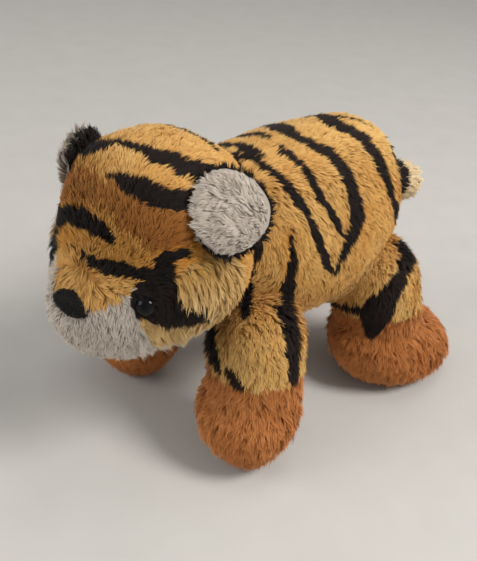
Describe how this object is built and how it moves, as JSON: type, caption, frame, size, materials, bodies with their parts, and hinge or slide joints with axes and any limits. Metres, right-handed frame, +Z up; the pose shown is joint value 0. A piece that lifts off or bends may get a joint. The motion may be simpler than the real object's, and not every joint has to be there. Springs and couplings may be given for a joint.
{
  "type": "plush tiger",
  "caption": "Small standing plush tiger sewn from striped pile fabric, with a stuffed head, body, legs and tail, folding ears and bead eyes.",
  "frame": {"origin": "on the surface the toy stands on, under the middle of its overall length and width", "axes": "+Z up, +Y from the nose to the tail, +X to the toy's own left side"},
  "size_m": [0.0894, 0.1444, 0.091],
  "materials": {
    "golden_pile": "short clumped pile with black stripes",
    "rust_pile": "short clumped pile",
    "white_pile": "short fluffy pile",
    "black_pile": "short pile",
    "belly_pile": "short pale pile",
    "nose_cloth": "soft satin cloth",
    "eye_bead": "polished",
    "eye_washer": "moulded",
    "stuffing": "loose polyester fibre"
  },
  "bodies": {
    "torso": {"body_side_left": "golden_pile", "body_side_right": "golden_pile", "belly_panel": "belly_pile", "body_stuffing": "stuffing"},
    "neck": {"neck_stuffing": "stuffing"},
    "head": {"head_side_left": "golden_pile", "head_side_right": "golden_pile", "head_gusset": "golden_pile", "muzzle_left": "white_pile", "muzzle_right": "white_pile", "chin_panel": "white_pile", "head_stuffing": "stuffing", "nose": "nose_cloth", "eye_left": "eye_bead", "eye_right": "eye_bead", "eye_washer_left": "eye_washer", "eye_washer_right": "eye_washer"},
    "ear_left": {"ear_front_left": "white_pile", "ear_back_left": "black_pile"},
    "ear_right": {"ear_front_right": "white_pile", "ear_back_right": "black_pile"},
    "leg_front_left": {"leg_sleeve_front_left": "golden_pile", "paw_cover_front_left": "rust_pile", "leg_stuffing_front_left": "stuffing"},
    "leg_front_right": {"leg_sleeve_front_right": "golden_pile", "paw_cover_front_right": "rust_pile", "leg_stuffing_front_right": "stuffing"},
    "leg_rear_left": {"leg_sleeve_rear_left": "golden_pile", "paw_cover_rear_left": "rust_pile", "leg_stuffing_rear_left": "stuffing"},
    "leg_rear_right": {"leg_sleeve_rear_right": "golden_pile", "paw_cover_rear_right": "rust_pile", "leg_stuffing_rear_right": "stuffing"},
    "tail": {"tail_sleeve": "golden_pile", "tail_stuffing": "stuffing"}
  },
  "joints": [
    {"name": "head_turn", "type": "hinge", "parent": "torso", "child": "neck", "pos_m": [0, -0.03356, 0.0609], "axis": [0, 0, 1], "range_deg": [-20, 15], "stiffness_Nm_per_rad": 0.05},
    {"name": "head_nod", "type": "hinge", "parent": "neck", "child": "head", "pos_m": [0, -0.03356, 0.0609], "axis": [1, 0, 0], "range_deg": [-15, 8], "stiffness_Nm_per_rad": 0.08},
    {"name": "ear_fold_left", "type": "hinge", "parent": "head", "child": "ear_left", "pos_m": [0.02224, -0.04854, 0.07714], "axis": [0.5488, 0.0502, -0.8344], "range_deg": [0, 30], "stiffness_Nm_per_rad": 0.004},
    {"name": "ear_fold_right", "type": "hinge", "parent": "head", "child": "ear_right", "pos_m": [-0.0229, -0.04751, 0.0734], "axis": [0.4524, -0.7473, 0.4867], "range_deg": [0, 18], "stiffness_Nm_per_rad": 0.004},
    {"name": "leg_swing_front_left", "type": "hinge", "parent": "torso", "child": "leg_front_left", "pos_m": [0.02415, -0.02306, 0.03325], "axis": [1, 0, 0], "range_deg": [-20, 20], "stiffness_Nm_per_rad": 0.15},
    {"name": "leg_swing_front_right", "type": "hinge", "parent": "torso", "child": "leg_front_right", "pos_m": [-0.02415, -0.02306, 0.03325], "axis": [1, 0, 0], "range_deg": [-20, 20], "stiffness_Nm_per_rad": 0.15},
    {"name": "leg_swing_rear_left", "type": "hinge", "parent": "torso", "child": "leg_rear_left", "pos_m": [0.02415, 0.0314, 0.03304], "axis": [1, 0, 0], "range_deg": [-20, 20], "stiffness_Nm_per_rad": 0.15},
    {"name": "leg_swing_rear_right", "type": "hinge", "parent": "torso", "child": "leg_rear_right", "pos_m": [-0.02415, 0.0314, 0.03304], "axis": [1, 0, 0], "range_deg": [-20, 20], "stiffness_Nm_per_rad": 0.15},
    {"name": "tail_swing", "type": "hinge", "parent": "torso", "child": "tail", "pos_m": [0, 0.05198, 0.056], "axis": [1, 0, 0], "range_deg": [-20, 25], "stiffness_Nm_per_rad": 0.01}
  ]
}
